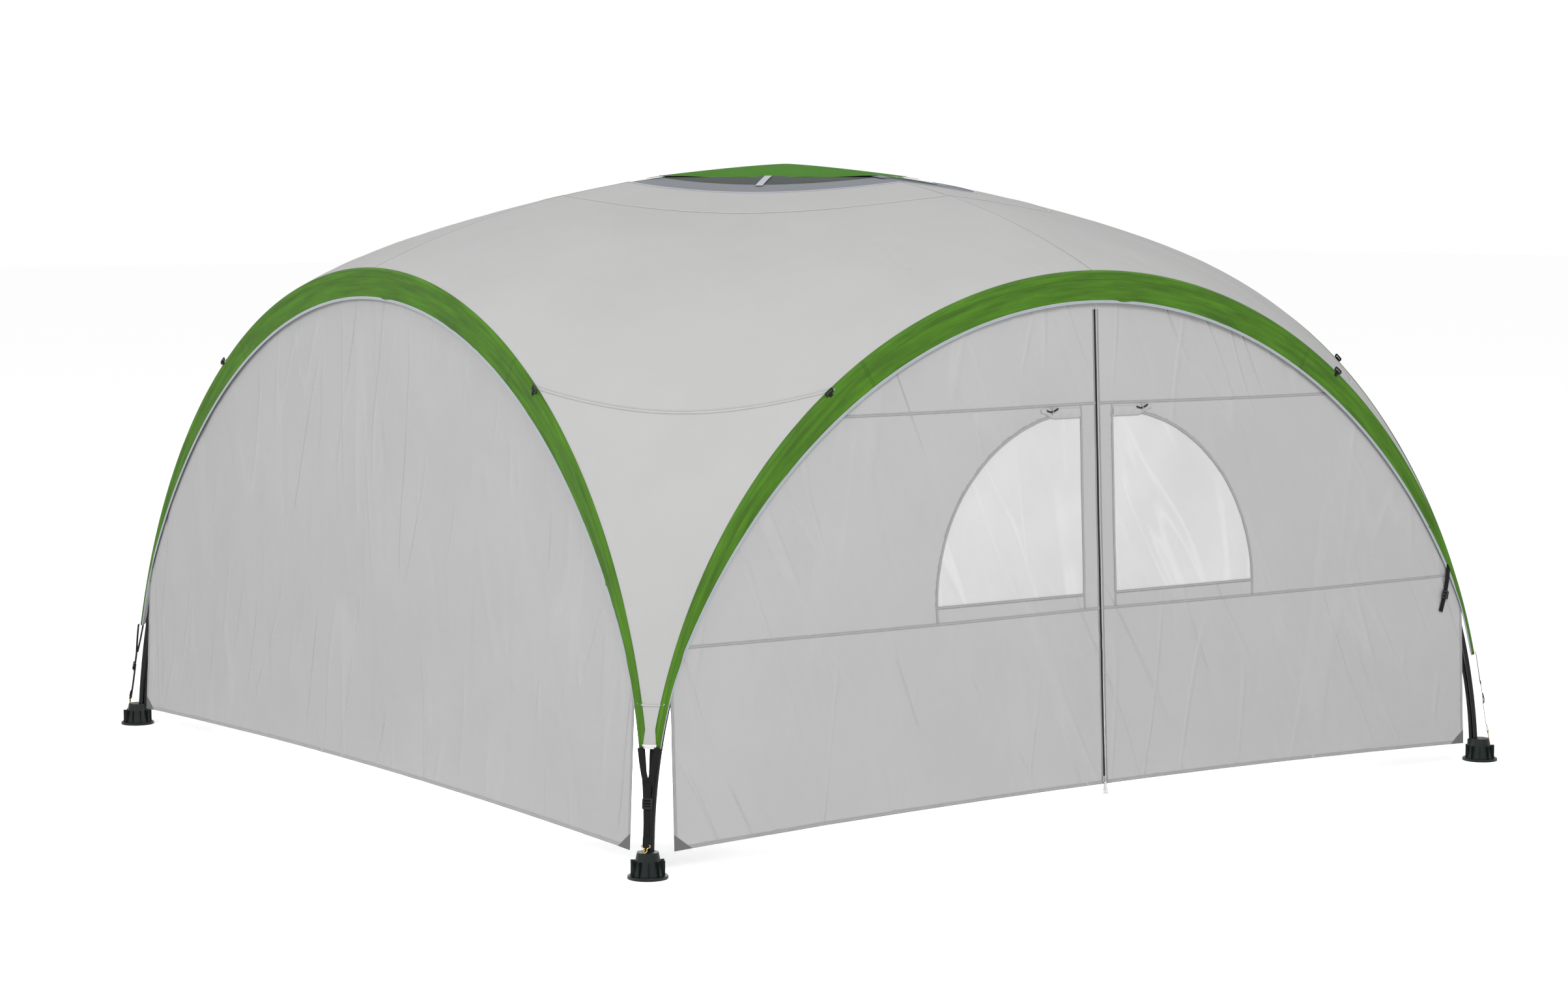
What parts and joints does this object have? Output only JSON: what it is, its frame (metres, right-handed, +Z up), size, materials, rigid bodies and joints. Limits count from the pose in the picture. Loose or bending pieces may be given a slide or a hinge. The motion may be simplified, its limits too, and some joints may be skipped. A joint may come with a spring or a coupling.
{
  "type": "dome event shelter",
  "caption": "Square dome shelter on arched poles with a four-cornered roof, green arch bands, a vented crown, one plain wall and one zip door wall with windows.",
  "frame": {"origin": "on the ground at the middle of the footprint", "axes": "+Z up, -Y towards the door wall, -X towards the plain wall"},
  "size_m": [3.755, 3.755, 2.1697],
  "materials": {
    "foot_plastic": "moulded, satin",
    "pole_paint": "black powder coat",
    "ferrule_steel": "black, satin",
    "hub_plastic": "moulded",
    "roof_fabric": "coated polyester, light grey",
    "vent_tape": "bluish grey tape",
    "vent_net": "dark insect net",
    "green_fabric": "coated polyester, green",
    "binding_tape": "pale blue-grey binding",
    "black_webbing": "woven webbing",
    "buckle_plastic": "moulded",
    "hook_wire": "bright wire",
    "wall_fabric": "coated polyester, light grey",
    "window_film": "clear film",
    "seam_tape": "grey tape",
    "zip_coil": "black coil",
    "zip_metal": "pale grey",
    "pull_plastic": "pale grey"
  },
  "bodies": {
    "shelter": {"foot_front_left": "foot_plastic", "foot_front_right": "foot_plastic", "foot_back_right": "foot_plastic", "foot_back_left": "foot_plastic", "arch_pole_front": "pole_paint", "arch_pole_right": "pole_paint", "arch_pole_back": "pole_paint", "arch_pole_left": "pole_paint", "roof_pole_front_left": "pole_paint", "roof_pole_front_right": "pole_paint", "roof_pole_back_right": "pole_paint", "roof_pole_back_left": "pole_paint", "pole_ferrules": "ferrule_steel", "crown_hub": "hub_plastic", "roof_panel_front_left": "roof_fabric", "roof_panel_front_right": "roof_fabric", "roof_panel_back_right": "roof_fabric", "roof_panel_back_left": "roof_fabric", "roof_corner_front_left": "roof_fabric", "roof_corner_front_right": "roof_fabric", "roof_corner_back_right": "roof_fabric", "roof_corner_back_left": "roof_fabric", "roof_crown": "roof_fabric", "tip_patches": "roof_fabric", "vent_ring": "vent_tape", "vent_ties": "vent_tape", "vent_mesh": "vent_net", "vent_cap": "green_fabric", "valance_front": "green_fabric", "valance_right": "green_fabric", "valance_back": "green_fabric", "valance_left": "green_fabric", "valance_bindings": "binding_tape", "guy_loops": "black_webbing", "corner_strap_front_left": "black_webbing", "corner_strap_front_right": "black_webbing", "corner_strap_back_right": "black_webbing", "corner_strap_back_left": "black_webbing", "spare_strap": "black_webbing", "ladder_locks": "buckle_plastic", "strap_hooks": "hook_wire", "side_wall": "wall_fabric", "door_wall_left": "wall_fabric", "door_wall_right": "wall_fabric", "door_header": "wall_fabric", "side_hem": "seam_tape", "door_wall_hems": "seam_tape", "door_wall_patches": "seam_tape", "side_wall_patches": "seam_tape"},
    "leaf_left": {"door_leaf_left": "wall_fabric", "window_left": "window_film", "blind_left": "wall_fabric", "leaf_hem_left": "seam_tape", "zip_chain": "zip_coil"},
    "leaf_right": {"door_leaf_right": "wall_fabric", "window_right": "window_film", "blind_right": "wall_fabric", "leaf_hem_right": "seam_tape"},
    "slider": {"zip_slider": "zip_metal"},
    "pulls": {"zip_pulls": "pull_plastic"}
  },
  "joints": [
    {"name": "door_left_swing", "type": "hinge", "parent": "shelter", "child": "leaf_left", "pos_m": [-0.92, -1.821, 0], "axis": [0, 0.044, 0.999], "range_deg": [0, 100]},
    {"name": "door_right_swing", "type": "hinge", "parent": "shelter", "child": "leaf_right", "pos_m": [0.92, -1.821, 0], "axis": [0, -0.044, -0.999], "range_deg": [0, 100]},
    {"name": "zip_slide", "type": "slide", "parent": "leaf_left", "child": "slider", "axis": [0, 0.044, 0.999], "range_m": [0, 1.545]},
    {"name": "pull_swing", "type": "hinge", "parent": "slider", "child": "pulls", "pos_m": [0, -1.82142, 0.111], "axis": [-1, 0, 0], "range_deg": [0, 100]}
  ]
}
